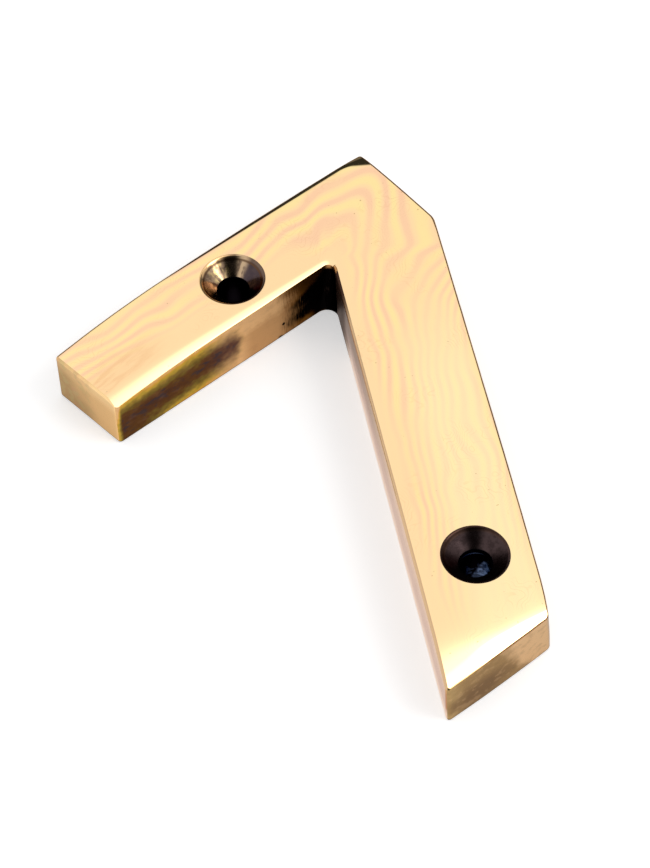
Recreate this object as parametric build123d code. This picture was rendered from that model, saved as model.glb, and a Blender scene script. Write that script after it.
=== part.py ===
from build123d import *
import math
import os

# House number seven: one solid bronze casting with a polished face and two countersunk screw holes.
# Millimetres. The flat back lies on Z = 0, +Z points out of the face, +Y up the numeral and
# +X along the bar to the reader's right. The origin is the middle of the outline, on the back.

# overall
numeral_height = 78.0  # from the lowest point of the foot to the highest point of the bar
numeral_width = 55.5  # from the bar's free end to the shoulder
face_thickness = 9.4  # back to face, away from the rolled-off ends

# plan
bar_depth = 12.9  # the bar measured up the numeral
end_slant = 1.0  # the bar's free end leans back by this much from its top to its bottom
end_taper = 0.3  # and the bar is this much narrower there
shoulder_length = 16.3  # straight side from the top right corner down to the shoulder
stem_lean = 28.0  # degrees between the stem and the upright
stem_width = 15.7  # square across the stem where it meets the bar
foot_width = 15.9  # and at the foot, because it tapers a little
top_bow = 0.25  # long edges finished by hand swell a little between their corners
side_bow = 0.1
foot_bow = 0.15

# upright corners of the outline
end_top_radius = 0.5
end_bottom_radius = 0.8
inner_radius = 0.9
foot_inner_radius = 0.4
foot_outer_radius = 1.0
shoulder_radius = 2.6
top_right_radius = 0.4

# face: where the polishing belt took it down, each a shallow arc that is level where it starts
end_roll_run = 20.0  # along the bar, over its free end
end_roll_drop = 1.25
lower_roll_run = 2.2  # across the bar, over its lower edge at the free end
lower_roll_drop = 0.65
lower_roll_narrowing = 1.4  # how much narrower it is at the inner corner
lower_roll_end = 3.6  # it starts to leave the metal this far before the inner corner
lower_roll_fade = 10.0  # in an arc of this radius
corner_roll_run = 4.0  # over the top right corner, along its diagonal
corner_roll_drop = 0.4
corner_roll_heading = 45.0  # degrees from the bar's direction
foot_roll_run = 19.0  # over the foot's outer corner
foot_roll_drop = 1.72
foot_roll_heading = -64.0
foot_facet_angle = 31.3  # degrees, the flat slope cut above the foot
foot_facet_turn = 1.1  # degrees, seen from above it runs out to the inner side
foot_edge_height = 7.3  # what it leaves of the end wall at the middle of the foot
foot_blend_radius = 4.0  # between face and facet
roll_start = 0.3  # how steeply every roll-off begins, as a share of its mean slope

# edges
face_edge_radius = 0.4  # round the face, but for the bar's lower edge, which the roll-off leaves crisp
back_edge_radius = 0.3

# screw holes, for a No. 8 countersunk wood screw
bore_diameter = 4.4
countersink_diameter = 8.9  # before its mouth is eased
countersink_angle = 90.0
mouth_radius = 0.5  # the mouth's rounded lip
bar_hole_from_end = 26.7  # along the bar, from its free end
stem_hole_from_foot = 13.1  # up the numeral, from the lowest point of the foot
stem_hole_offset = 0.3  # to the outer side of the stem's middle line

margin = 5.0  # how far a cutting tool stands clear of the metal
lower_fade_angle = 40.0  # degrees, far enough to be clear of it
tiny = 0.01

lean_slope = math.tan(math.radians(stem_lean))
lean_stretch = 1 / math.cos(math.radians(stem_lean))
half_width = numeral_width / 2
half_height = numeral_height / 2
top_y = half_height - top_bow
bar_bottom_y = top_y - bar_depth
bar_middle_y = top_y - bar_depth / 2
foot_y = -half_height + foot_bow
side_x = half_width - side_bow
shoulder_y = top_y - shoulder_length


def outer_line_x(y):
    """X of the stem's outer side at height y."""
    return side_x - (shoulder_y - y) * lean_slope


def inner_line_x(y):
    """X of the stem's inner side at height y."""
    share = (bar_bottom_y - y) / (bar_bottom_y - foot_y)
    width = stem_width + share * (foot_width - stem_width)
    return outer_line_x(y) - width * lean_stretch


inner_x = inner_line_x(bar_bottom_y)
bar_run = inner_x + half_width  # the bar's lower edge, from the free end to the inner corner


def outline():
    """The plan of the numeral, seven corners with slightly bowed edges."""
    end_top = (-half_width, top_y - end_taper)
    end_bottom = (-half_width + end_slant, bar_bottom_y)
    inner_corner = (inner_x, bar_bottom_y)
    foot_inner = (inner_line_x(foot_y), foot_y)
    foot_outer = (outer_line_x(foot_y), foot_y)
    shoulder = (side_x, shoulder_y)
    top_right = (side_x, top_y)
    foot_middle = ((foot_inner[0] + foot_outer[0]) / 2, -half_height)
    side_middle = (half_width, (top_y + shoulder_y) / 2)
    top_middle = (half_width / 3, half_height)
    edges = [
        Line(end_top, end_bottom),
        Line(end_bottom, inner_corner),
        Line(inner_corner, foot_inner),
        ThreePointArc(foot_inner, foot_middle, foot_outer),
        Line(foot_outer, shoulder),
        ThreePointArc(shoulder, side_middle, top_right),
        ThreePointArc(top_right, top_middle, end_top),
    ]
    plan = make_face(edges)
    radii = {
        end_top: end_top_radius,
        end_bottom: end_bottom_radius,
        inner_corner: inner_radius,
        foot_inner: foot_inner_radius,
        foot_outer: foot_outer_radius,
        shoulder: shoulder_radius,
        top_right: top_right_radius,
    }
    for corner, radius in radii.items():
        nearest = plan.vertices().sort_by_distance(Vector(*corner, 0))[0]
        plan = fillet(nearest, radius)
    return plan


def roll_profile(run, drop):
    """Section of what the belt took off: it starts at (0, 0), is drop deep at run and open above."""
    chord_slope = math.atan(drop / run)
    start_slope = roll_start * chord_slope
    radius = math.hypot(run, drop) / (2 * math.sin(chord_slope - start_slope))
    centre = (-radius * math.sin(start_slope), -radius * math.cos(start_slope))
    reach = min(run + margin - centre[0], radius * 0.9)
    arc = CenterArc(centre, radius, 90, -math.degrees(math.asin(reach / radius)))
    top, end = arc @ 0, arc @ 1
    return make_face([arc, Polyline(end, (end.X, margin), (top.X, margin), top)])


def roll(low_point, heading, run, drop):
    """A straight roll-off falling towards heading, in degrees from +X, and drop deep at the low point."""
    cutter = extrude(Plane.XZ * roll_profile(run, drop), numeral_height, both=True)
    return Pos(*low_point, face_thickness) * Rot(0, 0, heading) * Pos(-run, 0, 0) * cutter


def lower_roll():
    """The roll-off along the bar's lower edge: it follows the bar end down and fades out at the stem."""
    turn = math.degrees(math.atan(lower_roll_narrowing / bar_run))
    fall_radius = (end_roll_run**2 + end_roll_drop**2) / (2 * end_roll_drop)
    fall_angle = math.degrees(math.asin((end_roll_run + margin) / fall_radius))
    fade_x = bar_run - lower_roll_end
    straight = Line((fade_x, 0), (end_roll_run, 0))
    fall = CenterArc((end_roll_run, -fall_radius), fall_radius, 90, fall_angle)
    fade = CenterArc((fade_x, lower_roll_fade), lower_roll_fade, -90, lower_fade_angle)
    start = Plane(origin=(fade_x, 0, 0), x_dir=(0, -1, 0), z_dir=(-1, 0, 0))
    section = start * Pos(-lower_roll_run, 0, 0) * roll_profile(lower_roll_run, lower_roll_drop)
    cutter = sweep(section, Plane.XZ * Wire([straight, fall])) + sweep(section, Plane.XZ * fade)
    block = Box(2 * numeral_width, 2 * margin, 2 * face_thickness)
    above_edge = Pos(0, bar_bottom_y + margin, face_thickness) * block
    return Pos(-half_width, bar_bottom_y, face_thickness) * Rot(0, 0, -turn) * cutter & above_edge


def foot_facet():
    """What is cut away above the foot's flat slope."""
    slope = math.radians(foot_facet_angle)
    run = (face_thickness - foot_edge_height) / math.tan(slope)
    reach = 2 * margin
    low = (-reach, -reach * math.tan(slope))
    high = (reach, reach * math.tan(slope))
    profile = make_face(Polyline(high, low, (-reach, high[1]), high))
    bar = extrude(Plane.YZ * profile, numeral_width, both=True)
    middle_x = (inner_line_x(foot_y) + outer_line_x(foot_y)) / 2
    return Pos(middle_x, -half_height + run, face_thickness) * Rot(0, 0, foot_facet_turn) * bar


def screw_hole(x, y):
    """A through bore with a countersink, ready to be cut away, at its place on the face."""
    bore_radius = bore_diameter / 2
    cone_radius = countersink_diameter / 2
    slope = math.tan(math.radians(countersink_angle / 2))
    profile = make_face(
        Polyline(
            (0, -margin),
            (bore_radius, -margin),
            (bore_radius, face_thickness - (cone_radius - bore_radius) / slope),
            (cone_radius + margin * slope, face_thickness + margin),
            (0, face_thickness + margin),
            (0, -margin),
        )
    )
    return Pos(x, y, 0) * revolve(Plane.XZ * profile, Axis.Z)


def shared_edges(some, others):
    """The edges that a face of the first list shares with one of the second."""
    found = [edge for face in some for edge in face.edges()]
    return [edge for face in others for edge in face.edges() if any(edge.is_same(e) for e in found)]


def facet_crease(body):
    """The edge where the face breaks into the foot's flat slope."""
    flats = body.faces().filter_by(GeomType.PLANE)
    facet = [part for part in flats if tiny < part.normal_at().Z < 1 - tiny][0]
    long_edges = facet.edges().sort_by(SortBy.LENGTH)[-2:]
    return long_edges.sort_by(Axis.Z)[-1]


def polished_down(body):
    """The block with its face rolled off at the ends, corners and edges, and the facet at the foot."""
    top_right = (side_x, top_y)
    foot_corner = (outer_line_x(foot_y), foot_y)
    body -= roll((-half_width, bar_middle_y), 180, end_roll_run, end_roll_drop)
    body -= lower_roll()
    body -= roll(top_right, corner_roll_heading, corner_roll_run, corner_roll_drop)
    body -= roll(foot_corner, foot_roll_heading, foot_roll_run, foot_roll_drop)
    body -= foot_facet()
    return fillet(facet_crease(body), foot_blend_radius)


def is_crisp(edge):
    """Whether an edge of the face lies where the lower roll-off meets the wall."""
    above = edge.center().Y - bar_bottom_y
    return -tiny < above < lower_roll_run and edge.center().X < inner_x


def eased(body):
    """The rim of the face and of the back rounded over."""
    face = [part for part in body.faces() if part.normal_at().Z > tiny]
    walls = [part for part in body.faces() if abs(part.normal_at().Z) < tiny]
    rim = [edge for edge in shared_edges(face, walls) if not is_crisp(edge)]
    body = fillet(rim, face_edge_radius)
    back = body.faces().sort_by(Axis.Z)[0]
    return fillet(back.outer_wire().edges(), back_edge_radius)


def is_mouth(edge, x, y):
    """Whether an edge is part of the countersink's rim in the face, for the hole at x, y."""
    middle = edge @ 0.5
    near_axis = math.hypot(middle.X - x, middle.Y - y) < countersink_diameter / 2 + tiny
    return near_axis and middle.Z > face_thickness - mouth_radius


def drilled(body):
    """Both screw holes, with their mouths rounded."""
    stem_y = -half_height + stem_hole_from_foot
    stem_middle_x = (inner_line_x(stem_y) + outer_line_x(stem_y)) / 2
    centres = [
        (-half_width + bar_hole_from_end, bar_middle_y),
        (stem_middle_x + stem_hole_offset * lean_stretch, stem_y),
    ]
    for x, y in centres:
        body -= screw_hole(x, y)
        body = fillet([edge for edge in body.edges() if is_mouth(edge, x, y)], mouth_radius)
    return body


numeral_seven = drilled(eased(polished_down(extrude(outline(), face_thickness))))

os.makedirs("parts", exist_ok=True)
export_step(numeral_seven, "parts/numeral_seven.step")
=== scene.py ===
import math

import bpy
import numpy as np
from mathutils import Matrix, Vector, geometry


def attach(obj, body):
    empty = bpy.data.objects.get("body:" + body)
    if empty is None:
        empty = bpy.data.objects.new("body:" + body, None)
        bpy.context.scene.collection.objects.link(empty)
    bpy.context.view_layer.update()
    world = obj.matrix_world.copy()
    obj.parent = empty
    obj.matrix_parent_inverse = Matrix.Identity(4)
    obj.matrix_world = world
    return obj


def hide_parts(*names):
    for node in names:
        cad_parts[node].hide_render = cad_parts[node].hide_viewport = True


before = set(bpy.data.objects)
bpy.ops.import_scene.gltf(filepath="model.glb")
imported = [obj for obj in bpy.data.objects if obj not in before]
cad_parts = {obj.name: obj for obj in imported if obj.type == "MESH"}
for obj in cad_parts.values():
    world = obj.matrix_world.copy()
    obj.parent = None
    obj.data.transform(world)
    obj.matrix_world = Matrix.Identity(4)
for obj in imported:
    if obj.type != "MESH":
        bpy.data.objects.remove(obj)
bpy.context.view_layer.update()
scene = bpy.context.scene
mm = 0.001

# sizes of the casting in millimetres: those of the CAD part, but for a few corners, rims and roll-offs
casting = {
    "height": 78.0,
    "width": 55.5,
    "thickness": 9.4,
    "barDepth": 12.9,
    "endSlant": 1.0,
    "endTaper": 0.3,
    "shoulderLength": 16.3,
    "stemLean": 28.0,  # degrees
    "stemWidth": 15.7,
    "footWidth": 15.9,
    "topBow": 0.25,
    "sideBow": 0.1,
    "footBow": 0.15,
    "backRound": 0.3,
    "rimRound": 0.4,
    "outerRound": 0.27,  # along the stem's outer edge
    "crispRound": 0.05,  # what is left of it along the bar's lower edge
    "cornerRadii": (0.5, 0.55, 0.9, 0.5, 1.0, 2.6, 0.5),
    "innerRadiusAtBack": 1.7,
    "footLean": {"reach": 5.0, "shift": 0.36},  # the foot's outer corner, polished inwards at its top
    "waver": ((31, 0.004, 0.4), (57, 0.003, 2.1), (93, 0.0015, 4.0)),  # waves round the outline, size, phase
    "pointSpacing": 0.25,
    "faceSpacing": 0.5,
}
rolls = {
    "end": {"run": 20.0, "drop": 1.25},
    "top": {"run": 1.0, "drop": 0.1, "narrowing": 0.7},
    "lower": {"run": 2.5, "drop": 0.65, "power": 1.75, "narrowing": 1.6, "fade": 1.5},
    "corner": {"run": 3.0, "drop": 0.32, "heading": 54.0},
    "foot": {"run": 19.0, "drop": 1.72, "heading": -64.0},
    "facet": {
        "angle": 31.3,
        "turn": -1.1,
        "edgeHeight": 7.3,
        "blend": (0.4, 0.14),  # inner side, outer side
        "easing": 7.5,
        "innerDrop": 0.3,
    },
}
holes = {
    "bore": 4.4,
    "cone": 8.9,
    "lip": 0.5,
    "boreLip": 0.12,
    "fromEnd": 26.7,
    "fromFoot": 13.1,
    "offset": 0.3,
    "points": 160,
}

halfWidth = casting["width"] / 2
halfHeight = casting["height"] / 2
thickness = casting["thickness"]
leanSlope = math.tan(math.radians(casting["stemLean"]))
leanStretch = 1 / math.cos(math.radians(casting["stemLean"]))
topY = halfHeight - casting["topBow"]
barBottomY = topY - casting["barDepth"]
footY = -halfHeight + casting["footBow"]
sideX = halfWidth - casting["sideBow"]
shoulderY = topY - casting["shoulderLength"]


def outerLineX(y):
    return sideX - (shoulderY - y) * leanSlope


def innerLineX(y):
    share = (barBottomY - y) / (barBottomY - footY)
    wide = casting["stemWidth"] + share * (casting["footWidth"] - casting["stemWidth"])
    return outerLineX(y) - wide * leanStretch


innerX = innerLineX(barBottomY)
stemHoleY = -halfHeight + holes["fromFoot"]
stemMiddleX = (innerLineX(stemHoleY) + outerLineX(stemHoleY)) / 2
holeCentres = (
    (-halfWidth + holes["fromEnd"], topY - casting["barDepth"] / 2),
    (stemMiddleX + holes["offset"] * leanStretch, stemHoleY),
)
facetTurn = math.radians(rolls["facet"]["turn"])
footMiddleX = (innerLineX(footY) + outerLineX(footY)) / 2


# points from a to b on an arc that swells by bow to the right of the way, both ends included
def arcThrough(a, b, bow, count):
    a, b = np.array(a), np.array(b)
    along = b - a
    length = np.linalg.norm(along)
    out = np.array((along[1], -along[0])) / length
    t = np.linspace(0, 1, count)[:, None]
    return a + along * t + out * bow * 4 * t * (1 - t)


# the plan's points in order, anticlockwise, with as many of them whatever the radius
def outline(innerRadius):
    corners = [
        (-halfWidth, topY - casting["endTaper"]),
        (-halfWidth + casting["endSlant"], barBottomY),
        (innerX, barBottomY),
        (innerLineX(footY), footY),
        (outerLineX(footY), footY),
        (sideX, shoulderY),
        (sideX, topY),
    ]
    topBow = casting["topBow"] + casting["endTaper"] / 2 - 0.012
    bows = (0, 0, 0, casting["footBow"], 0, casting["sideBow"], topBow)
    radii = list(casting["cornerRadii"])
    radii[2] = innerRadius
    count = len(corners)
    runs = [arcThrough(corners[i], corners[(i + 1) % count], bows[i], 400) for i in range(count)]
    turns, ways = [], []
    for before, after in zip(runs[-1:] + runs[:-1], runs):
        d0, d1 = before[-1] - before[-2], after[1] - after[0]
        d0, d1 = d0 / np.linalg.norm(d0), d1 / np.linalg.norm(d1)
        turns.append(math.atan2(d0[0] * d1[1] - d0[1] * d1[0], d0 @ d1))
        ways.append(d0)
    trims = [r * math.tan(abs(t) / 2) for r, t in zip(radii, turns)]
    share = np.linspace(0, 1, 400)
    points = []
    for i in range(count):
        j = (i + 1) % count
        start = runs[i][0] - ways[i] * trims[i]
        centre = start + np.array((-ways[i][1], ways[i][0])) * math.copysign(radii[i], turns[i])
        begin = math.atan2(*(start - centre)[::-1])
        steps = 16 if i == 2 else 10
        for k in range(steps + 1):
            angle = begin + turns[i] * k / steps
            points.append(centre + radii[i] * np.array((math.cos(angle), math.sin(angle))))
        length = np.linalg.norm(runs[i][-1] - runs[i][0])
        low, high = trims[i] / length, 1 - trims[j] / length
        pieces = int(length / casting["pointSpacing"])
        for k in range(1, pieces):
            t = low + (high - low) * k / pieces
            points.append(np.array((np.interp(t, share, runs[i][:, 0]), np.interp(t, share, runs[i][:, 1]))))
    return handWaver(np.array(points))


# the long sides are finished by hand, so they are a few microns out of straight
def handWaver(points):
    step = np.linalg.norm(np.roll(points, -1, 0) - points, axis=1)
    way = np.concatenate(([0], np.cumsum(step)[:-1])) / step.sum() * 2 * math.pi
    waver = sum(a * np.sin(k * way + p) for k, a, p in casting["waver"])
    return points + outwardNormals(points) * (waver[:, None] - 0.004)


def outwardNormals(points):
    along = np.roll(points, -1, 0) - np.roll(points, 1, 0)
    out = np.stack((along[:, 1], -along[:, 0]), 1)
    out /= np.linalg.norm(out, axis=1)[:, None]
    out = (np.roll(out, 1, 0) + 2 * out + np.roll(out, -1, 0)) / 4
    return out / np.linalg.norm(out, axis=1)[:, None]


# the top outline with its outer corner over the foot moved in
def leanIn(points):
    lean = casting["footLean"]
    down = np.clip((footY + lean["reach"] - points[:, 1]) / lean["reach"], 0, 1) ** 2
    right = smooth(points[:, 0], footMiddleX, outerLineX(footY) - 1)
    return points - np.column_stack((lean["shift"] * down * right, np.zeros(len(points))))


# how far a roll-off has fallen at u past its start
def rolledOff(u, run, drop, power=2.0):
    return drop * (np.maximum(u, 0) / run) ** power


# height of the polished face above the back, without the rim's rounding
def faceHeight(x, y):
    end, lower = rolls["end"], rolls["lower"]
    corner, foot, facet = rolls["corner"], rolls["foot"], rolls["facet"]
    z = thickness - rolledOff(-halfWidth + end["run"] - x, end["run"], end["drop"])
    top = rolls["top"]
    beyond = y - topY + top["run"] - top["narrowing"] * (sideX - x) / casting["width"]
    z = z - rolledOff(beyond, top["run"], top["drop"])
    c, s = math.cos(math.radians(corner["heading"])), math.sin(math.radians(corner["heading"]))
    z = z - rolledOff((x - sideX) * c + (y - topY) * s + corner["run"], corner["run"], corner["drop"])
    share = np.clip((x + halfWidth) / (innerX + halfWidth), 0, 2)
    run = lower["run"] - lower["narrowing"] * share
    still = 1 - smooth(x, innerX - lower["fade"], innerX + 0.3)
    beyond = np.where(y > barBottomY - 1, barBottomY - y + run, 0)
    z = z - rolledOff(beyond, run, lower["drop"] * run / lower["run"], lower["power"]) * still
    c, s = math.cos(math.radians(foot["heading"])), math.sin(math.radians(foot["heading"]))
    z = z - rolledOff((x - outerLineX(footY)) * c + (y - footY) * s + foot["run"], foot["run"], foot["drop"])
    # the facet over the foot, less steep and softer on the inner side, where the polishing ran over it
    share = smooth(x, footMiddleX + 3, footMiddleX - 8)
    up = (y + halfHeight) * math.cos(facetTurn) + (x - footMiddleX) * math.sin(facetTurn)
    steep = np.tan(np.radians(facet["angle"] - facet["easing"] * share))
    slope = facet["edgeHeight"] - facet["innerDrop"] * share + up * steep
    inner, outer = facet["blend"]
    soft = outer + (inner - outer) * share
    return (z + slope) / 2 - np.sqrt(((z - slope) / 2) ** 2 + soft**2)


# 0 at low and 1 at high, eased between
def smooth(x, low, high):
    t = np.clip((x - low) / (high - low), 0, 1)
    return t * t * (3 - 2 * t)


def faceNormals(x, y):
    h = 0.02
    dx = (faceHeight(x + h, y) - faceHeight(x - h, y)) / (2 * h)
    dy = (faceHeight(x, y + h) - faceHeight(x, y - h)) / (2 * h)
    n = np.stack((-dx, -dy, np.ones_like(dx)), 1)
    return n / np.linalg.norm(n, axis=1)[:, None]


# the rounding's radius at each point of the outline
def rimRounding(points):
    x, y = points[:, 0], points[:, 1]
    onLower = (np.abs(y - barBottomY) < 0.9) & (x < innerX - 0.5)
    onOuter = (y < shoulderY - 1) & (x > outerLineX(y) - 1)
    radius = np.where(onOuter, casting["outerRound"], casting["rimRound"])
    radius = np.where(onLower, casting["crispRound"], radius)
    kernel = np.ones(9) / 9  # eases the change over nine points
    wrapped = np.concatenate((radius[-12:], radius, radius[:12]))
    return np.convolve(wrapped, kernel, "same")[12:-12]


# whether each point lies inside a closed loop
def insideLoop(x, y, loop):
    inside = np.zeros(len(x), bool)
    a, b = loop, np.roll(loop, -1, 0)
    for i in range(0, len(x), 2000):
        px, py = x[i : i + 2000, None], y[i : i + 2000, None]
        spans = (a[None, :, 1] > py) != (b[None, :, 1] > py)
        rise = np.where(b[:, 1] == a[:, 1], 1e-12, b[:, 1] - a[:, 1])
        cross = a[None, :, 0] + (py - a[None, :, 1]) * ((b[:, 0] - a[:, 0]) / rise)[None, :]
        inside[i : i + 2000] = (np.sum(spans & (px < cross), 1) % 2) == 1
    return inside


def distanceTo(x, y, points):
    best = np.full(len(x), 1e9)
    for i in range(0, len(x), 2000):
        dx = x[i : i + 2000, None] - points[None, :, 0]
        dy = y[i : i + 2000, None] - points[None, :, 1]
        best[i : i + 2000] = np.sqrt((dx**2 + dy**2).min(1))
    return best


# collects points, normals and faces of one mesh
class Shape:
    def __init__(self):
        self.points, self.normals, self.faces, self.kinds = [], [], [], []
        self.count = 0

    def add(self, points, normals):
        first = self.count
        self.points.append(points)
        self.normals.append(normals)
        self.count += len(points)
        return np.arange(first, self.count)

    # quads between two closed rings, seen anticlockwise from outside when b is above a
    def bridge(self, a, b, kind):
        n = len(a)
        for i in range(n):
            j = (i + 1) % n
            self.faces.append((int(a[i]), int(a[j]), int(b[j]), int(b[i])))
            self.kinds.append(kind)


# triangulates the region inside the outer ring and outside the inner ones
def fillFlat(shape, outer, inners, kind, flip=False, extra=(), makePoint=None):
    loops = [outer] + inners
    coords, ids, edges = [], [], []
    everything = np.concatenate(shape.points)
    for loop in loops:
        first = len(coords)
        for i in loop:
            coords.append(Vector((everything[i, 0], everything[i, 1])))
            ids.append(int(i))
        n = len(loop)
        edges += [(first + k, first + (k + 1) % n) for k in range(n)]
    if len(extra):
        where = makePoint(extra)
        added = shape.add(*where)
        coords += [Vector((p[0], p[1])) for p in extra]
        ids += [int(i) for i in added]
    verts, _, tris, origin, _, _ = geometry.delaunay_2d_cdt(coords, edges, [], 0, 1e-7, True)
    where = np.array([(v.x, v.y) for v in verts])
    tris = np.array([t for t in tris if len(t) == 3])
    middles = where[tris].mean(1)
    ring = everything[outer][:, :2]
    keep = insideLoop(middles[:, 0], middles[:, 1], ring)
    for inner in inners:
        keep &= ~insideLoop(middles[:, 0], middles[:, 1], everything[inner][:, :2])
    for t in tris[keep]:
        face = [ids[origin[v][0]] for v in t]
        shape.faces.append(tuple(face[::-1]) if flip else tuple(face))
        shape.kinds.append(kind)


sideKind, faceKind, coneKind, boreKind, backKind, barKind, stemKind, footKind, endKind, cornerKind = range(10)
wallRows, rimSteps = 12, 5


def buildNumeral():
    shape = Shape()
    straight = outline(casting["cornerRadii"][2])
    top = leanIn(straight)
    bottom = outline(casting["innerRadiusAtBack"])
    rounding = rimRounding(top)
    normalTop, normalBottom = outwardNormals(top), outwardNormals(bottom)
    backRound = casting["backRound"]
    rings = []
    # the back edge, from the flat back up to the wall
    for k in range(4):
        angle = math.radians(90 - 30 * k)
        inset = backRound * (1 - math.cos(angle))
        z = backRound * (1 - math.sin(angle))
        p = bottom - normalBottom * inset
        n = np.column_stack((normalBottom * math.cos(angle), np.full(len(p), -math.sin(angle))))
        rings.append(shape.add(np.column_stack((p, np.full(len(p), z))), n))
    # the wall, and the rounding that ends level with the face however it slopes there
    inner = top - normalTop * rounding[:, None]
    edge = faceHeight(*(top - normalTop * 0.02).T)
    fall = (faceHeight(*inner.T) - edge) / np.maximum(rounding - 0.02, 0.01)
    last = math.pi / 2 - np.arctan(np.clip(fall, 0, 1.2))
    end = top - normalTop * (rounding * (1 - np.cos(last)))[:, None]
    centreZ = faceHeight(*end.T) - rounding * np.sin(last)
    for k in range(1, wallRows + 1):
        t = k / wallRows
        p = bottom * (1 - t) + straight * t + (top - straight) * t * t
        n = normalBottom * (1 - t) + normalTop * t
        n /= np.linalg.norm(n, axis=1)[:, None]
        z = backRound + (centreZ - backRound) * t
        rings.append(shape.add(np.column_stack((p, z)), np.column_stack((n, np.zeros(len(p))))))
    for k in range(1, rimSteps + 1):
        angle = last * k / rimSteps
        p = top - normalTop * (rounding * (1 - np.cos(angle)))[:, None]
        z = centreZ + rounding * np.sin(angle)
        n = np.column_stack((normalTop * np.cos(angle)[:, None], np.sin(angle)))
        if k == rimSteps:
            n = faceNormals(p[:, 0], p[:, 1])
        rings.append(shape.add(np.column_stack((p, z)), n))
    for a, b in zip(rings, rings[1:]):
        shape.bridge(a, b, sideKind)
    rim = rings[-1]
    back = rings[0]
    faceLoops, backLoops = [], []
    for x, y in holeCentres:
        faceLoop, backLoop = buildHole(shape, x, y)
        faceLoops.append(faceLoop)
        backLoops.append(backLoop)
    fillFace(shape, rim, faceLoops, top, normalTop, rounding)
    fillFlat(shape, back, backLoops, backKind, flip=True)
    return shape


# a screw hole from its mouth in the face to its edge in the back. Returns both edge rings
def buildHole(shape, x, y):
    n = holes["points"]
    turn = np.arange(n) * 2 * math.pi / n
    ray = np.stack((np.cos(turn), np.sin(turn)), 1)
    lip, cone, bore = holes["lip"], holes["cone"] / 2, holes["bore"] / 2
    mouth = cone + lip * math.tan(math.radians(22.5))
    level = faceHeight(x + mouth * ray[:, 0], y + mouth * ray[:, 1])
    profile = []  # radius, depth, slope of the surface normal towards the axis, share of the face's fall
    for k in range(7):
        a = math.radians(45 * k / 6)
        profile.append((mouth - lip * math.sin(a), lip * (1 - math.cos(a)), a, 1 - 0.3 * k / 6, coneKind))
    r1, d1 = profile[-1][:2]
    end = d1 + (r1 - bore)
    boreLip = holes["boreLip"]
    for k in range(1, 9):
        t = k / 8 * (1 - boreLip / (r1 - bore))
        profile.append((r1 + (bore - r1) * t, d1 + (end - d1) * t, math.radians(45), 0.7 * (1 - t), coneKind))
    profile.append((bore + boreLip * 0.15, end + boreLip * 0.3, math.radians(68), 0.0, boreKind))
    profile.append((bore, end + boreLip, math.radians(90), 0.0, boreKind))
    for k in range(1, 7):
        depth = end + boreLip + (thickness - end - boreLip) * k / 6
        profile.append((bore, depth, math.radians(90), 0.0, boreKind))
    rings = []
    for radius, depth, a, share, kind in profile:
        z = thickness - depth + (level - thickness) * share
        p = np.column_stack((x + radius * ray[:, 0], y + radius * ray[:, 1], z))
        normal = np.column_stack((-ray * math.sin(a), np.full(n, math.cos(a))))
        if a == 0:
            normal = faceNormals(p[:, 0], p[:, 1])
        rings.append(shape.add(p, normal))
    for i in range(len(rings) - 1):
        shape.bridge(rings[i], rings[i + 1], profile[i + 1][4])
    return rings[0], rings[-1]


def fillFace(shape, rim, loops, top, normalTop, rounding):
    spacing = casting["faceSpacing"]
    xs = np.arange(-halfWidth, halfWidth, spacing)
    ys = np.arange(-halfHeight, halfHeight, spacing * math.sqrt(3) / 2)
    gx, gy = np.meshgrid(xs, ys)
    gx = gx + (np.arange(len(ys)) % 2)[:, None] * spacing / 2
    gx, gy = gx.ravel(), gy.ravel()
    everything = np.concatenate(shape.points)
    ring = everything[rim][:, :2]
    keep = insideLoop(gx, gy, ring)
    gx, gy = gx[keep], gy[keep]
    away = distanceTo(gx, gy, ring)
    keep = away > 2.6
    for x, y in holeCentres:
        keep &= np.hypot(gx - x, gy - y) > 5.5
    points = [np.column_stack((gx[keep], gy[keep]))]
    # closer rows beside the rim, where the roll-offs are
    inset = 0.16
    reach = 0.16
    while reach < 2.6:
        p = top - normalTop * (rounding + reach)[:, None]
        gap = distanceTo(p[:, 0], p[:, 1], ring)
        ok = (gap > reach * 0.93) & insideLoop(p[:, 0], p[:, 1], ring)
        step = 1 if reach < 0.9 else 2
        ok &= np.arange(len(p)) % step == 0
        for x, y in holeCentres:
            ok &= np.hypot(p[:, 0] - x, p[:, 1] - y) > 5.0
        points.append(p[ok])
        inset *= 1.12
        reach += inset
    for x, y in holeCentres:
        for radius in (4.9, 5.2):
            turn = (np.arange(90) + 0.5) * 2 * math.pi / 90
            p = np.column_stack((x + radius * np.cos(turn), y + radius * np.sin(turn)))
            ok = distanceTo(p[:, 0], p[:, 1], ring) > 0.3
            points.append(p[ok])
    extra = np.concatenate(points)

    def lift(p):
        return np.column_stack((p, faceHeight(p[:, 0], p[:, 1]))), faceNormals(p[:, 0], p[:, 1])

    fillFlat(shape, rim, loops, faceKind, extra=extra, makePoint=lift)


# where each point lies from the inner edge, and how far round from the bar to the stem
def strokeWay(x, y):
    lean = math.radians(casting["stemLean"])
    down = np.array((-math.sin(lean), -math.cos(lean)))
    outward = np.array((math.cos(lean), -math.sin(lean)))
    dx, dy = x - innerX, y - barBottomY
    onBar = (dx < 0) & (dy > -0.5)
    onStem = (dx * down[0] + dy * down[1] > 0) & ~onBar
    turned = math.pi / 2 - np.arctan2(dy, dx)
    fan = math.pi / 2 + lean
    fromStem = dx * outward[0] + dy * outward[1]
    turning = (np.maximum(dy, 0) ** 5 + np.maximum(fromStem, 0) ** 5) ** 0.2
    along = np.where(onBar, dx, np.where(onStem, 7 * fan + dx * down[0] + dy * down[1], 7 * turned))
    across = np.where(onBar, dy, np.where(onStem, fromStem, turning))
    return along, across


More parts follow.
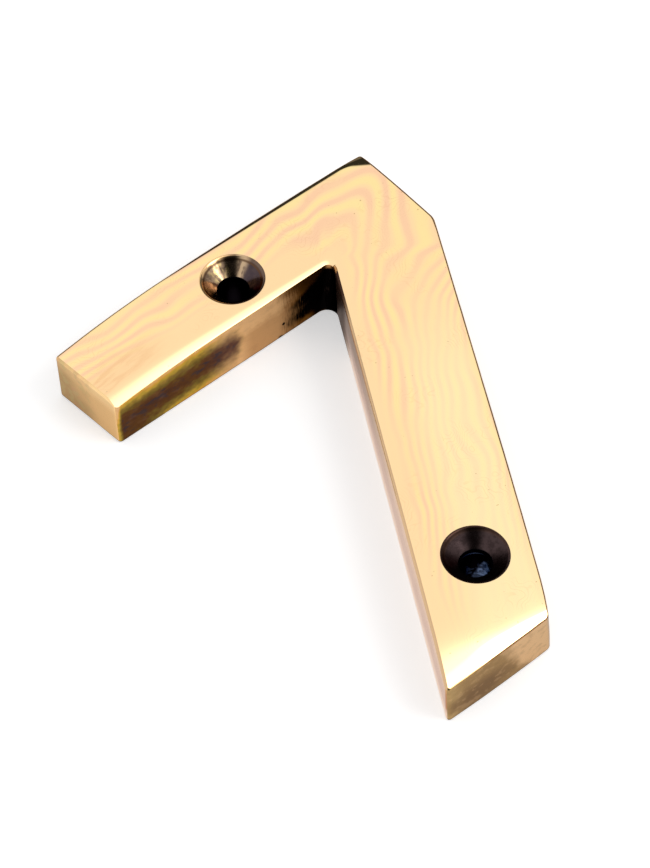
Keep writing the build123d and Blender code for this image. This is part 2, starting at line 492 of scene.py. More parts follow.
# which wall each wall face belongs to
def sortWalls(points, faces, kinds):
    middles = np.array([points[list(f)][:, :2].mean(0) for f in faces])
    found = []
    for (x, y), kind in zip(middles, kinds):
        if kind == sideKind:
            if x < -halfWidth + 1.25 and y > barBottomY + 0.3:
                kind = endKind
            elif math.hypot(x - innerX + 0.6, y - barBottomY + 0.9) < 1.3:
                kind = cornerKind
            elif abs(y - barBottomY) < 0.75 and x < innerX - 0.45:
                kind = barKind
            elif y < footY + 0.35:
                kind = footKind
            elif x < innerLineX(y) + 1.1 and y < barBottomY + 0.6:
                kind = stemKind
        found.append(kind)
    return found


shape = buildNumeral()
points = np.concatenate(shape.points)
normals = np.concatenate(shape.normals)
mesh = bpy.data.meshes.new("numeralBody")
mesh.from_pydata((points * mm).tolist(), [], shape.faces)
mesh.validate()
mesh.polygons.foreach_set("use_smooth", [True] * len(mesh.polygons))
mesh.polygons.foreach_set("material_index", sortWalls(points, shape.faces, shape.kinds))
along, across = strokeWay(points[:, 0], points[:, 1])
corners = np.zeros(len(mesh.loops), int)
mesh.loops.foreach_get("vertex_index", corners)
layer = mesh.uv_layers.new(name="strokes")
layer.data.foreach_set("uv", np.column_stack((along, across))[corners].ravel())
mesh.normals_split_custom_set_from_vertices(normals.tolist())
numeral = bpy.data.objects.new("numeral", mesh)
scene.collection.objects.link(numeral)
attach(numeral, "root")
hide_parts("numeral_seven")
print("numeral", len(mesh.vertices), "points", len(mesh.polygons), "faces")


# gives an input a plain value, or links a node, a socket or a flow to it
def setInput(tree, socket, value):
    if isinstance(value, Flow):
        value = value.socket
    elif isinstance(value, bpy.types.Node):
        value = value.outputs[0]
    if isinstance(value, bpy.types.NodeSocket):
        tree.links.new(value, socket)
    elif socket.type == "RGBA":
        socket.default_value = (*value, 1)
    else:
        socket.default_value = value


# a shader node with its settings, and its inputs set or linked by name or number
def addNode(tree, kind, inputs=None, **settings):
    made = tree.nodes.new("ShaderNode" + kind)
    for name, value in settings.items():
        setattr(made, name, value)
    for name, value in (inputs or {}).items():
        setInput(tree, made.inputs[name], value)
    return made


# a value on its way through a shader. The usual signs, with another or with a number, add Math nodes
class Flow:
    def __init__(self, tree, socket):
        self.tree, self.socket = tree, socket

    def __add__(self, other):
        return calc("ADD", self, other)

    def __radd__(self, other):
        return calc("ADD", other, self)

    def __sub__(self, other):
        return calc("SUBTRACT", self, other)

    def __rsub__(self, other):
        return calc("SUBTRACT", other, self)

    def __mul__(self, other):
        return calc("MULTIPLY", self, other)

    def __truediv__(self, other):
        return calc("DIVIDE", self, other)

    def __rtruediv__(self, other):
        return calc("DIVIDE", other, self)

    def __pow__(self, other):
        return calc("POWER", self, other)


def calc(operation, a, b=0.0):
    tree = (a if isinstance(a, Flow) else b).tree
    return Flow(tree, addNode(tree, "Math", {0: a, 1: b}, operation=operation).outputs[0])


# the same flow, held between 0 and 1
def clamped(flow):
    flow.socket.node.use_clamp = True
    return flow


# the outputs of a node, each as a flow
def flows(tree, node):
    return [Flow(tree, socket) for socket in node.outputs]


# 0 below low, 1 above high, eased between. With low above high it falls instead
def ramp(value, low, high, least=0.0, most=1.0):
    if not isinstance(low, Flow) and low > high:
        low, high, least, most = high, low, most, least
    inputs = {0: value, 1: low, 2: high, 3: least, 4: most}
    return flows(value.tree, addNode(value.tree, "MapRange", inputs, interpolation_type="SMOOTHSTEP"))[0]


def blend(share, a, b):
    return flows(share.tree, addNode(share.tree, "Mix", {"Factor": share, 6: a, 7: b}, data_type="RGBA"))[2]


def combine(x, y=0.0, z=0.0):
    return flows(x.tree, addNode(x.tree, "CombineXYZ", {0: x, 1: y, 2: z}))[0]


def separate(tree, vector):
    return flows(tree, addNode(tree, "SeparateXYZ", {0: vector}))


# a number that two vectors give
def measure(operation, a, b):
    return Flow(a.tree, addNode(a.tree, "VectorMath", {0: a, 1: b}, operation=operation).outputs["Value"])


def noiseAt(vector, size, detail=2.0):
    inputs = {"Vector": vector, "Scale": 1 / size, "Detail": detail}
    return flows(vector.tree, addNode(vector.tree, "TexNoise", inputs))[0]


# a node group with its inputs as flows. Its first output is what a material takes from it
def newGroup(name, inputs, output, kind):
    tree = bpy.data.node_groups.new(name, "ShaderNodeTree")
    for label, sort, value in inputs:
        socket = tree.interface.new_socket(label, in_out="INPUT", socket_type="NodeSocket" + sort)
        if value is not None:
            socket.default_value = value
    tree.interface.new_socket(output, in_out="OUTPUT", socket_type="NodeSocket" + kind)
    given = flows(tree, tree.nodes.new("NodeGroupInput"))[: len(inputs)]
    return tree, tree.nodes.new("NodeGroupOutput").inputs[output], given


# a group's output, with its first input a flow
def useGroup(group, inputs):
    tree = next(iter(inputs.values())).tree
    return flows(tree, addNode(tree, "Group", inputs, node_tree=group))[0]


# soft spots
def buildPatches():
    inputs = [
        ("Vector", "Vector", None),
        ("Size", "Float", 3.0),
        ("Detail", "Float", 3.0),
        ("Low", "Float", 0.45),
        ("High", "Float", 0.65),
    ]
    tree, result, (vector, size, detail, low, high) = newGroup("patches", inputs, "Mask", "Float")
    inputs = {"Vector": vector, "Scale": 1.0 / size, "Detail": detail, "Roughness": 0.55}
    noise = flows(tree, addNode(tree, "TexNoise", inputs))[0]
    setInput(tree, result, ramp(noise, low, high))
    return tree


# long fine marks along the first axis of the vector
def buildScratches():
    inputs = [
        ("Vector", "Vector", None),
        ("Width", "Float", 0.15),
        ("Stretch", "Float", 0.05),
        ("Cover", "Float", 0.3),
    ]
    tree, result, (vector, width, stretch, cover) = newGroup("scratches", inputs, "Mask", "Float")
    long, y, z = separate(tree, vector)
    inputs = {"Vector": combine(long * stretch, y, z), "Scale": 1.0 / width, "Detail": 2.0, "Roughness": 0.6}
    noise = flows(tree, addNode(tree, "TexNoise", inputs))[0]
    low = 0.72 - cover * 0.3
    setInput(tree, result, ramp(noise, low, low + 0.12))
    return tree


# the colours that heat and handling leave on bronze, from a thick dark film to clean metal
def buildFilm():
    tree, result, (clean,) = newGroup("filmColours", [("Clean", "Float", 1.0)], "Colour", "Color")
    colours = addNode(tree, "ValToRGB", {0: clean})
    stops = [
        (0.0, (0.05, 0.038, 0.036)),
        (0.14, (0.085, 0.036, 0.02)),
        (0.3, (0.115, 0.052, 0.019)),
        (0.42, (0.165, 0.11, 0.028)),
        (0.54, (0.26, 0.165, 0.035)),
        (0.66, (0.43, 0.285, 0.045)),
        (0.78, (0.60, 0.315, 0.05)),
        (0.88, (0.66, 0.37, 0.12)),
        (1.0, (0.70, 0.41, 0.185)),
    ]
    elements = colours.color_ramp.elements
    while len(elements) < len(stops):
        elements.new(0.5)
    for element, (place, colour) in zip(elements, stops):
        element.position = place
        element.color = (*colour, 1)
    setInput(tree, result, colours)
    return tree


patches, scratches, film = buildPatches(), buildScratches(), buildFilm()


# a new material of the numeral, and the point in millimetres as a vector and as three numbers
def startMetal(name):
    material = bpy.data.materials.new(name)
    material.use_nodes = True
    tree = material.node_tree
    tree.nodes.clear()
    mesh.materials.append(material)
    place = addNode(tree, "TexCoord").outputs["Object"]
    scaled = addNode(tree, "VectorMath", {0: place, 3: 1 / mm}, operation="SCALE")
    return Flow(tree, scaled.outputs[0]), *separate(tree, scaled)


# glance tints the pale sheen that is left where the metal is seen at a glancing angle
def finishMetal(colour, roughness, height=None, depth=0.01, glance=None):
    tree = colour.tree
    inputs = {"Base Color": colour, "Metallic": 1.0, "Roughness": roughness}
    if glance is not None:
        inputs["Specular Tint"] = glance
    if height is not None:
        inputs["Normal"] = addNode(tree, "Bump", {"Strength": 1.0, "Distance": depth * mm, "Height": height})
    addNode(tree, "OutputMaterial", {"Surface": addNode(tree, "BsdfPrincipled", inputs)})


# painted contact shadow along a wall's last fraction of a millimetre above the table
def paintedContactShadow(z, colour):
    return blend(ramp(z, 0.5, 0.15, 0.0, 0.75), colour, (0.12, 0.065, 0.035))


sideMetal = {"light": (0.60, 0.37, 0.175), "dark": (0.36, 0.205, 0.09), "roughness": 0.15}


def makeSide():
    place, x, y, z = startMetal("bronzeSide")
    broad = noiseAt(place, 11.0, 1.0)
    small = noiseAt(combine(x, y, z * 0.3), 1.3, 3.0)
    tarnish = (small - 0.5) * 0.45 + broad
    colour = blend(ramp(tarnish, 0.32, 0.68), sideMetal["light"], sideMetal["dark"])
    marks = useGroup(scratches, {"Vector": combine(z, x, y), "Width": 0.2, "Cover": 0.3})
    colour = blend(marks * 0.2, colour, sideMetal["dark"])
    rough = marks * 0.1 + sideMetal["roughness"]
    # painted contact shadow along the side's foot
    finishMetal(paintedContactShadow(z, colour), rough, marks, 0.004)


faceMetal = {
    "peach": (0.97, 0.69, 0.385),
    "yellow": (0.95, 0.765, 0.35),
    "pink": (0.93, 0.585, 0.38),
    "pale": (1.0, 0.83, 0.475),
    "brushed": (0.87, 0.53, 0.275),
    "swirl": (0.8, 0.42, 0.22),
    "speck": (0.45, 0.22, 0.1),
    "swirlSpacing": 0.9,
    "bandSpacing": 2.0,  # mm from one band to the next
    "bandStrength": 0.8,
    "roughness": 0.045,
}


# mirror polish, with soft bands of colour that follow the strokes from the bar round to the stem
def makeFace():
    place, _, y, _ = startMetal("bronzeFace")
    along, across, _ = separate(place.tree, addNode(place.tree, "UVMap", uv_map="strokes"))
    slow = noiseAt(combine(along * 0.05, across * 0.11, 3.0), 1.0, 1.0)
    quick = noiseAt(combine(along * 0.16, across * 0.06, 7.0), 1.0, 1.0)
    atCorner = ramp(along, -6, 4) * ramp(along, 24, 12)
    waver = atCorner * 3.2 + 1.4
    shift = (quick - 0.5) * waver
    shift = shift + (slow - 0.5) * 9.0
    wide = ramp(along, -16, 0) * ramp(along, 26, 10)
    level = across * (wide * -0.3 + ramp(along, 14, 32, 1.0, 1.4))
    level = along * 0.09 + level + shift
    wave = calc("SINE", level * (2 * math.pi / faceMetal["bandSpacing"]))
    strength = useGroup(patches, {"Vector": place, "Size": 11.0, "Detail": 1.0, "Low": 0.3, "High": 0.6})
    strength = strength * 0.65 + 0.35
    strength = strength * ramp(y, -34, -20, 0.12, faceMetal["bandStrength"])
    onBar = ramp(along, 2, -4)
    upper = clamped(ramp(across, 4.0, 7.5) + (1.0 - onBar))
    strength = strength * (upper * ramp(across, 0.8, 3.5))
    colour = blend(ramp(wave, -0.1, 1.0) * strength, faceMetal["peach"], faceMetal["yellow"])
    colour = blend(ramp(wave, 0.0, -1.0) * strength, colour, faceMetal["pink"])
    middle = ramp(across, 2.5, 9.0) * ramp(across, 16.5, 13.5)
    middle = middle * (ramp(y, 16, -4) * ramp(y, -38, -28, 0.6, 1.0))
    colour = blend(middle * 0.6, colour, faceMetal["pale"])
    # the brush marks over the free end's lower half
    slanted = along * -0.1 + across * 1.3
    brushed = noiseAt(combine(along * 0.25, slanted, 4.0), 1.0, 3.0)
    brushed = ramp(brushed, 0.38, 0.66) * 0.5 + 0.3
    brushed = brushed * (ramp(across, 1.8, 3.2) * ramp(across, 8.5, 5.0))
    brushed = brushed * ramp(along, -24, -33)
    colour = blend(brushed, colour, faceMetal["brushed"])
    # fine swirls, where the last polishing strokes turned
    curl = noiseAt(place, 5.0, 2.0)
    fine = calc("SINE", (curl * 14.0 + across) * (2 * math.pi / faceMetal["swirlSpacing"]))
    near = useGroup(patches, {"Vector": place, "Size": 8.0, "Detail": 2.0, "Low": 0.48, "High": 0.62})
    swirls = ramp(fine, 0.55, 1.0) * near
    colour = blend(swirls * 0.16, colour, faceMetal["swirl"])
    specks = useGroup(patches, {"Vector": place, "Size": 0.45, "Detail": 0.0, "Low": 0.84, "High": 0.88})
    colour = blend(specks * 0.5, colour, faceMetal["speck"])
    rough = near * 0.02 + faceMetal["roughness"]
    finishMetal(colour, rough)


coneMetal = {
    "brown": (0.34, 0.23, 0.15),
    "paintedHighlight": (0.80, 0.58, 0.27),
    "second": (0.52, 0.37, 0.23),
    "film": (0.05, 0.036, 0.045),
    "lowerFilm": (0.056, 0.037, 0.037),
    "black": (0.022, 0.014, 0.014),
    "worn": (0.7, 0.45, 0.22),
    "lipShade": (0.1, 0.05, 0.025),
    "lip": (0.03, 0.014, 0.008),
    "glance": (0.35, 0.3, 0.3),
    "right": (0.802, -0.597),  # the way from the clean side of a hole, with the painted highlight, to its dark one
    "roughness": 0.15,
}


# the screw holes: brown with a painted highlight on one flank and a dark film opposite, partly painted dark
# reflection; the lower one nearly black
def makeCone():
    place, x, y, z = startMetal("bronzeCone")
    lower = ramp(y, 5, -5)
    (cx, cy), (rx, ry) = holeCentres[0], coneMetal["right"]
    dx, dy = x - cx, y - cy
    away = calc("MAXIMUM", calc("SQRT", dx * dx + dy * dy), 0.1)
    right = (dx * rx + dy * ry) / away
    up = (dy * rx - dx * ry) / away
    spots = useGroup(patches, {"Vector": place, "Size": 0.9, "Low": 0.42, "High": 0.62})
    colour = blend(spots * 0.55, coneMetal["brown"], coneMetal["black"])
    # painted highlight on the upper flank, broken by streaks
    flankHighlight = ramp(up, 0.3, 0.62) * ramp(right, 0.02, -0.3)
    streaks = noiseAt(combine(right * 5.0, z * 0.7, 2.0), 1.0, 2.0)
    flankHighlight = flankHighlight * ramp(streaks, 0.46, 0.62)
    colour = blend(flankHighlight, colour, coneMetal["paintedHighlight"])
    # dark film on one side of the cone, partly residue and partly painted dark reflection
    dark = ramp(up * -0.55 + right, -0.1, 0.3)
    colour = blend(dark * 0.93, colour, coneMetal["film"])
    # a second, smaller painted highlight
    second = ramp(right, 0.1, 0.3) * ramp(right, 0.66, 0.42)
    second = second * (ramp(up, 0.4, 0.75) * ramp(streaks, 0.38, 0.5))
    colour = blend(second * 0.85, colour, coneMetal["second"])
    stained = blend(spots * 0.6, coneMetal["lowerFilm"], coneMetal["black"])
    colour = blend(lower, colour, stained)
    # painted highlight on the lip, strongest on the highlighted side of the upper hole; not wear
    worn = (lower * -0.9 + 1.0) * ramp(right, 0.2, -0.45, 0.12, 1.0)
    colour = blend(ramp(z, 9.02, 9.3) * worn, colour, coneMetal["worn"])
    # painted dark line along the inside of the lip
    lipShade = ramp(z, 8.8, 8.98) * ramp(z, 9.2, 9.04)
    lipShade = lipShade * (lower * -0.75 + 1.0)
    colour = blend(lipShade * 0.85, colour, coneMetal["lipShade"])
    lip = ramp(z, 8.9, 9.15) * lower
    colour = blend(lip * 0.7, colour, coneMetal["lip"])
    rings = noiseAt(combine(z * 8.0), 1.0, 2.0)
    rough = lower * 0.12 + coneMetal["roughness"]
    finishMetal(colour, rough, rings, 0.003, glance=coneMetal["glance"])


boreMetal = {"dark": (0.012, 0.010, 0.012), "paintedGlint": (0.21, 0.28, 0.46), "roughness": 0.22}


# nearly black, with a painted bluish glint and a painted highlight ring in the lower bore
def makeBore():
    place, x, y, z = startMetal("bronzeBore")
    (cx, cy), (rx, ry), radius = holeCentres[1], coneMetal["right"], holes["bore"] / 2
    dx, dy = x - cx, y - cy
    right = dx * (rx / radius) + dy * (ry / radius)
    up = dy * (rx / radius) - dx * (ry / radius)
    spots = useGroup(patches, {"Vector": place, "Size": 0.8, "Low": 0.42, "High": 0.62})
    # painted glint on one side of the lower bore, with fainter painted spots deeper down
    side = z * -0.196 + (right + 0.54)
    paintedGlints = ramp(side, 0.03, 0.28) * (spots * 0.8 + 0.2)
    fewer = ramp(spots, 0.7, 1.0) * ramp(z, 4.6, 3.4)
    paintedGlints = calc("MAXIMUM", paintedGlints, fewer * 0.12)
    # painted highlight ring near the bore's edge
    level = up * 0.3 + z
    ring = ramp(level, 6.58, 6.7) * ramp(level, 6.94, 6.8)
    paintedGlints = calc("MAXIMUM", paintedGlints, ring * 0.45)
    paintedGlints = paintedGlints * ramp(y, 5, -5)
    colour = blend(paintedGlints, boreMetal["dark"], boreMetal["paintedGlint"])
    finishMetal(colour, boreMetal["roughness"], glance=(0, 0, 0))


backMetal = {
    "colour": (0.5, 0.3, 0.15),
    "dark": (0.16, 0.09, 0.05),
    "ground": (0.7, 0.46, 0.25),
    "roughness": 0.38,
}


# the back is left as the grinder left it
def makeBack():
    place, *_ = startMetal("bronzeBack")
    marks = useGroup(scratches, {"Vector": place, "Width": 0.25, "Stretch": 0.03, "Cover": 0.9})
    spots = useGroup(patches, {"Vector": place, "Size": 9.0, "Low": 0.4, "High": 0.7})
    colour = blend(spots * 0.8, backMetal["colour"], backMetal["dark"])
    colour = blend(marks * 0.3, colour, backMetal["ground"])
    finishMetal(colour, backMetal["roughness"], marks, 0.01)


barWall = {
    "darkMiddle": 3.7,  # height of the dark film's middle at the free end, in mm
    "darkRise": 0.045,  # and how much it climbs per mm towards the corner
    "filmEnds": (21.5, 25.0),  # mm from the free end, where the film gives way to clean metal
    "filmStarts": (1.9, 0.9),
    "sootAndShade": (29.0, 34.5),  # mm from the free end, where the black of soot and painted shade begins and is full
    "shade": (0.52, 0.285, 0.125),  # painted shade on the clean metal low on the wall
    "rosy": ((0.095, 0.045, 0.036), (0.70, 0.415, 0.195)),  # the film and the metal past its middle
    "bluish": (0.035, 0.036, 0.05),
    "spot": (0.3, 0.15, 0.08),
    "sootAndShadeColours": ((0.004, 0.003, 0.003), (0.15, 0.06, 0.014)),  # the soot with painted shade, and the gold that shows in it
    # brown towards the inner corner, partly tarnish and partly painted shade
    "tarnishAndShade": (0.17, 0.07, 0.02),
    "dent": (0.006, 0.005, 0.004),
    "glance": (0.4, 0.4, 0.4),
    "pit": (30.3, 2.6, 0.34),  # from the free end, height, radius
    "nick": (29.6, 0.1, 0.6),
    "roughness": 0.13,
}


# the bar's lower wall: coloured film at the left, clean in the middle with painted shade low down, black with
# soot and painted shade in the corner
def makeBarWall():
    _, x, _, z = startMetal("bronzeBarWall")
    u = x + halfWidth
    flat = combine(u * 0.5, z)
    broad = noiseAt(flat, 3.2, 3.0)
    small = noiseAt(combine(u * 0.7, z, 4.0), 0.7, 3.0)
    above = z - (u * barWall["darkRise"] + barWall["darkMiddle"])
    over = calc("MAXIMUM", above, 0.0)
    under = calc("MINIMUM", above, 0.0) / -3.2
    over = over ** 1.6 * 0.075
    under = under ** 1.4 * ramp(u, 2, 15, 0.14, 0.48)
    clean = over + under + 0.17
    clean = clean + (broad - 0.5) * 0.35
    clean = clean + (small - 0.5) * 0.34
    clean = clean + ramp(broad * 4.0 + (u - 2.0), *barWall["filmEnds"])
    starts = ramp(u, *barWall["filmStarts"])
    clean = clamped(starts * (z * 0.04 + 0.47) + clean)
    colour = useGroup(film, {"Clean": clean})
    rosy = blend(ramp(clean, 0.12, 0.95), *barWall["rosy"])
    colour = blend(ramp(u, 15.5, 21) * 0.85, colour, rosy)
    bluish = useGroup(patches, {"Vector": flat, "Size": 0.8, "Detail": 1.0, "Low": 0.5, "High": 0.66})
    bluish = bluish * ramp(clean, 0.34, 0.2)
    colour = blend(bluish * 0.6, colour, barWall["bluish"])
    # painted shade low on the clean middle of the wall
    lowShade = ramp(u, 22, 25) * ramp(small * 2.5 + z, 8.2, 6.0)
    colour = blend(lowShade, colour, barWall["shade"])
    spots = useGroup(patches, {"Vector": flat, "Size": 1.2, "Low": 0.5, "High": 0.72})
    colour = blend(spots * 0.16, colour, barWall["spot"])
    grain = noiseAt(combine(u * 9.0, z * 0.8, 6.0), 1.0, 2.0)
    streaks = noiseAt(combine(u * 5.0, z * 0.35), 1.0, 3.0)
    reach = (streaks - 0.5) * 6.0 + u
    reach = (grain - 0.5) * 4.0 + reach
    reach = reach + (broad - 0.5) * 7.0
    # soot and painted shade towards the inner corner
    sootAndShade = ramp(reach, *barWall["sootAndShade"])
    gold = ramp(u * -0.5 + (small + z), -10.9, -9.6)
    gold = gold * ramp(u, 39.0, 36.5)
    lowGold = ramp(small * 1.2 + z, 2.4, 1.3) * ramp(u, 36.2, 34.5)
    sootAndShadeColours = blend(calc("MAXIMUM", gold, lowGold), *barWall["sootAndShadeColours"])
    # darker brown towards the corner: tarnish and painted shade
    colour = blend(ramp(u, 29, 32) * 0.6, colour, barWall["tarnishAndShade"])
    colour = blend(sootAndShade, colour, sootAndShadeColours)
    dents = 0.0
    for du, dz, radius in (barWall["pit"], barWall["nick"]):
        gap = measure("DISTANCE", combine(u, z), (du, dz, 0))
        dents = calc("MAXIMUM", dents, ramp(gap, radius, radius * 0.5))
    colour = blend(dents, colour, barWall["dent"])
    # painted contact shadow along the wall's foot
    colour = paintedContactShadow(z, colour)
    height = streaks * sootAndShade * 0.3 - dents
    rough = sootAndShade * 0.25 + barWall["roughness"]
    finishMetal(colour, rough, height, 0.03, glance=barWall["glance"])


stemWall = {
    "low": (0.80, 0.62, 0.48),
    "middle": (0.45, 0.21, 0.09),
    "high": (0.66, 0.39, 0.15),
    "brown": (0.06, 0.03, 0.02),
    "brownEnds": (13.0, 6.0),  # mm down from the inner corner
    "shade": (0.10, 0.065, 0.055),
    "shadeEnds": (48.0, 14.0),
    "rim": (0.62, 0.42, 0.24),
    "glance": (1.0, 0.90, 0.84),
    "roughness": (0.15, 0.5),
}


# seen at a glancing angle: mauve low down, tan above, painted shade on the upper wall towards the inner
# corner, and brown to black nearest it, partly patina and partly painted shade
def makeStemWall():
    *_, y, z = startMetal("bronzeStemWall")
    s = (barBottomY - y) / math.cos(math.radians(casting["stemLean"]))
    broad = noiseAt(combine(s * 0.12, z * 0.5), 1.0, 2.0)
    uneven = (broad - 0.5) * 2.4
    level = z + uneven
    colour = blend(ramp(level, 0.8, 3.6), stemWall["low"], stemWall["middle"])
    colour = blend(ramp(level, 5.0, 8.3), colour, stemWall["high"])
    shade = ramp(s, *stemWall["shadeEnds"]) * ramp(level, 1.5, 7.5)
    colour = blend(shade * 0.75, colour, stemWall["shade"])
    _, _, tilt = separate(z.tree, addNode(z.tree, "TexCoord").outputs["Normal"])
    colour = blend(ramp(tilt, 0.1, 0.5), colour, stemWall["rim"])
    # brown to black near the inner corner: patina and painted shade
    brown = ramp(uneven * 1.5 + s, *stemWall["brownEnds"])
    colour = blend(brown, colour, stemWall["brown"])
    polished, worn = stemWall["roughness"]
    rough = calc("MAXIMUM", brown, shade * 0.5) * (worn - polished) + polished
    finishMetal(colour, rough, glance=stemWall["glance"])


cornerMetal = {
    "sootAndShade": ((0.004, 0.003, 0.003), (0.02, 0.014, 0.012)),
    "rim": (0.5, 0.26, 0.1),
    "roughness": 0.35,
}


# black with soot and painted shade, and bare again at the rim
def makeCorner():
    _, x, y, z = startMetal("bronzeCorner")
    streaks = noiseAt(combine(x * 5.0, y * 5.0, z * 0.3), 1.0, 2.0)
    colour = blend(ramp(streaks, 0.55, 0.75), *cornerMetal["sootAndShade"])
    colour = blend(ramp(z, 8.35, 8.9), colour, cornerMetal["rim"])
    finishMetal(colour, cornerMetal["roughness"], glance=(0, 0, 0))


footWall = {
    "left": (0.40, 0.26, 0.11),
    "dark": (0.20, 0.115, 0.052),
    "middle": (0.31, 0.19, 0.08),
    "right": (0.64, 0.41, 0.215),
    "edge": (0.20, 0.10, 0.045),
    "darkAt": (2.7, 2.4, 0),  # from the inner side, height
    "glance": (0.6, 0.6, 0.6),
    "roughness": 0.17,
}


# brown in the middle, paler at both ends, with a pinkish patch at the outer one
def makeFootWall():
    place, x, _, z = startMetal("bronzeFootWall")
    inner = x - innerLineX(footY)
    broad = noiseAt(place, 2.6, 2.0)
    small = noiseAt(combine(x * 0.6, z, 5.0), 0.8, 3.0)
    uneven = (broad - 0.5) * 5.0
    where = inner + uneven
    colour = blend(ramp(where, 0.5, 4.5), footWall["left"], footWall["middle"])
    gap = measure("DISTANCE", combine(where * 0.45, z), footWall["darkAt"])
    colour = blend(ramp(gap, 3.2, 0.8), colour, footWall["dark"])
    slant = z * 0.55 + where
    colour = blend(ramp(slant, 12.4, 14.8), colour, footWall["right"])
    colour = blend(ramp(small, 0.5, 0.68) * 0.22, colour, footWall["dark"])
    colour = blend(ramp(small, 0.48, 0.34) * 0.22, colour, footWall["right"])
    colour = blend(ramp(z, 7.05, 7.3), colour, footWall["edge"])
    # painted contact shadow along the wall's foot
    finishMetal(paintedContactShadow(z, colour), footWall["roughness"], glance=footWall["glance"])


endWall = {
    "light": (0.79, 0.50, 0.225),
    "dark": (0.46, 0.29, 0.13),
    "top": (0.9, 0.62, 0.31),
    "pink": (0.56, 0.27, 0.17),
    "green": (0.50, 0.42, 0.19),
    "glance": (0.7, 0.65, 0.6),
    "roughness": 0.15,
}


# palest near the bar's lower corner, mottled towards the other one
def makeEndWall():
    *_, y, z = startMetal("bronzeEndWall")
    s = topY - y
    broad = noiseAt(combine(y, z, 2.0), 2.6, 2.0)
    small = noiseAt(combine(y, z, 9.0), 1.3, 2.0)
    pale = z * 0.7 + (broad * 5.0 + s)
    colour = blend(ramp(pale, 6.5, 14.5), endWall["dark"], endWall["light"])
    colour = blend(ramp(z, 5.5, 7.6) * ramp(s, 4.5, 8.5, 0.3, 0.9), colour, endWall["top"])
    mottled = ramp(s, 9.5, 4.0)
    pink = ramp(broad, 0.5, 0.62) * mottled
    colour = blend(pink * 0.35, colour, endWall["pink"])
    green = ramp(small, 0.48, 0.62) * mottled
    colour = blend(green * 0.4, colour, endWall["green"])
    # painted contact shadow along the wall's foot
    finishMetal(paintedContactShadow(z, colour), endWall["roughness"], glance=endWall["glance"])


walls = (makeBarWall, makeStemWall, makeFootWall, makeEndWall, makeCorner)
for make in (makeSide, makeFace, makeCone, makeBore, makeBack, *walls):
    make()
print("materials", len(mesh.materials))

view = {  # where the photograph was taken from
    "target": (-4.42088, 8.44495, 0.0),  # mm
    "azimuth": -36.65596,
    "elevation": 51.74777,
    "roll": -3.69473,
    "distance": 498.5925,
    "lens": 149.65,
}


def placeCamera():
    a, e, r = (math.radians(view[k]) for k in ("azimuth", "elevation", "roll"))
    back = Vector((math.sin(a) * math.cos(e), -math.cos(a) * math.cos(e), math.sin(e)))
    right = Vector((math.cos(a), math.sin(a), 0))
    up = back.cross(right)
    data = bpy.data.cameras.new("camera")
    data.lens, data.sensor_width = view["lens"], 36.0
    data.clip_start, data.clip_end = 0.01, 20
    camera = bpy.data.objects.new("camera", data)
    turned = (right * math.cos(r) + up * math.sin(r), up * math.cos(r) - right * math.sin(r), back)
    place = Matrix(turned).transposed().to_4x4()
    place.translation = (Vector(view["target"]) + back * view["distance"]) * mm
    camera.matrix_world = place
    scene.collection.objects.link(camera)
    scene.camera = camera
    return back


cameraSide = placeCamera()

table = {
    "colour": (0.80, 0.80, 0.805),
    "roughness": 0.7,
    "lift": 0.44,
    "half": 1.5,  # metres
    "height": -0.00002,
}


# the white table, a little brighter to the eye and in reflections, so that it keeps the shadow
def buildTable():
    h = table["half"]
    floorMesh = bpy.data.meshes.new("floor")
    corners = [(x * h, y * h, table["height"]) for x, y in ((-1, -1), (1, -1), (1, 1), (-1, 1))]
    floorMesh.from_pydata(corners, [], [(0, 1, 2, 3)])
    floor = bpy.data.objects.new("floor", floorMesh)
    scene.collection.objects.link(floor)
    material = bpy.data.materials.new("whiteTable")
    material.use_nodes = True
    tree = material.node_tree
    tree.nodes.clear()
    path = addNode(tree, "LightPath").outputs
    seen = calc("MAXIMUM", Flow(tree, path["Is Camera Ray"]), path["Is Glossy Ray"])
    surface = {
        "Base Color": table["colour"],
        "Roughness": table["roughness"],
        "Emission Color": (1, 1, 1),
        "Emission Strength": seen * table["lift"],
    }
    addNode(tree, "OutputMaterial", {"Surface": addNode(tree, "BsdfPrincipled", surface)})
    floorMesh.materials.append(material)


buildTable()

studio = {
    "soft": 0.7,  # even light from all round
    "tint": (1, 0.995, 0.98),  # of the room as the metal mirrors it
    "cameraPatch": {"from": 0.84, "full": 0.97, "share": 0.08},  # dark where the camera stood
    "front": {"direction": (0.42, -0.56, 0.715), "distance": 1.0, "side": 0.52, "brightness": 3.2},
    "farGap": (0.66, 0.70),  # height, as a share, between the dark far wall and the bright ceiling
    "ceiling": 1.05,
    "ceilingRise": 0.3,
    "glow": {"direction": (0.27, -0.22, 0.94), "from": 0.83, "brightness": 1.0},  # wide round the lamp
    "halo": {"direction": (0.38, -0.40, 0.83), "from": 0.962, "brightness": 1.9},  # close round the lamp
    "farWall": 0.03,
    "farLow": {"heights": (0.5, 0.4), "brightness": 0.17},  # its foot, paler so that the face isn't black
    "leftPanel": {"direction": (-0.87, 0.49), "low": 0.2, "full": 0.75, "brightness": 1.1},
    "frontPanel": {"direction": (0.6, -0.8), "low": 0.62, "full": 0.78, "brightness": 0.9},
    "rightWall": {"direction": (0.95, 0.3), "low": 0.86, "full": 0.97, "brightness": 0.1},
}


# a soft square lamp that faces the numeral; its power follows from how bright it looks
def addSoftbox(name, direction, distance, side, brightness):
    data = bpy.data.lights.new(name, "AREA")
    data.shape = "SQUARE"
    data.size = side
    data.energy = brightness * side * side * math.pi
    lamp = bpy.data.objects.new(name, data)
    way = Vector(direction).normalized()
    lamp.location = way * distance
    lamp.rotation_mode = "QUATERNION"
    lamp.rotation_quaternion = way.to_track_quat("Z", "Y")
    scene.collection.objects.link(lamp)


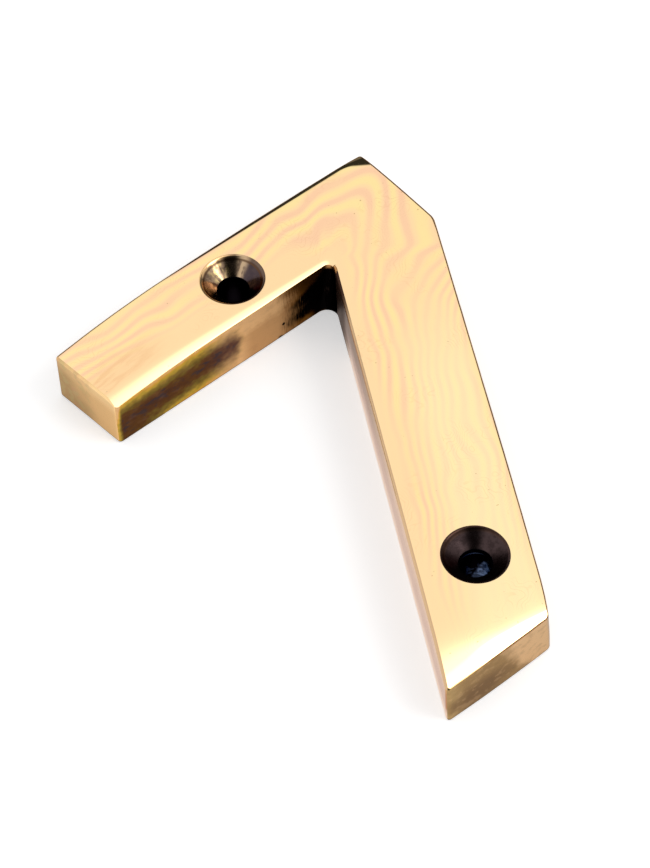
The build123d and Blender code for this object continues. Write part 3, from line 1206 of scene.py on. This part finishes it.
addSoftbox("frontBox", **studio["front"])


# the room as the metal mirrors it: dark far wall, pale panels, bright ceiling. The camera sees white
def buildRoom():
    world = bpy.data.worlds.new("studio")
    scene.world = world
    world.use_nodes = True
    tree = world.node_tree
    tree.nodes.clear()
    path = addNode(tree, "LightPath")
    way = Flow(tree, addNode(tree, "TexCoord").outputs["Generated"])
    x, y, high = separate(tree, way)
    level = flows(tree, addNode(tree, "VectorMath", {0: combine(x, y)}, operation="NORMALIZE"))[0]
    walls = studio["farWall"]
    for name in ("leftPanel", "frontPanel", "rightWall"):
        panel = studio[name]
        toward = Vector((*panel["direction"], 0)).normalized()
        facing = measure("DOT_PRODUCT", level, toward)
        shone = ramp(facing, panel["low"], panel["full"], 0.0, panel["brightness"])
        walls = walls + shone
    low = studio["farLow"]
    walls = calc("MAXIMUM", walls, ramp(high, *low["heights"], 0.0, low["brightness"]))
    ceiling = (high - 0.74) * studio["ceilingRise"] + studio["ceiling"]
    share = ramp(high, *studio["farGap"])
    room = ceiling * share + walls * (1.0 - share)
    for name, power in (("glow", 2.0), ("halo", 1.0)):
        glow = studio[name]
        toward = Vector(glow["direction"]).normalized()
        facing = measure("DOT_PRODUCT", way, toward)
        near = clamped((facing - glow["from"]) / (1 - glow["from"]))
        room = near ** power * glow["brightness"] + room
    toCamera = measure("DOT_PRODUCT", way, cameraSide)
    patch = studio["cameraPatch"]
    room = room * ramp(toCamera, patch["full"], patch["from"], patch["share"], 1.0)
    mirrored = addNode(tree, "Background", {"Color": studio["tint"], "Strength": room})
    soft = addNode(tree, "Background", {"Color": (1, 1, 1), "Strength": studio["soft"]})
    white = addNode(tree, "Background", {"Color": (1, 1, 1), "Strength": 1.0})
    lit = addNode(tree, "MixShader", {0: path.outputs["Is Glossy Ray"], 1: soft, 2: mirrored})
    seen = addNode(tree, "MixShader", {0: path.outputs["Is Camera Ray"], 1: lit, 2: white})
    addNode(tree, "OutputWorld", {"Surface": seen})


buildRoom()
scene.view_settings.view_transform = "Standard"
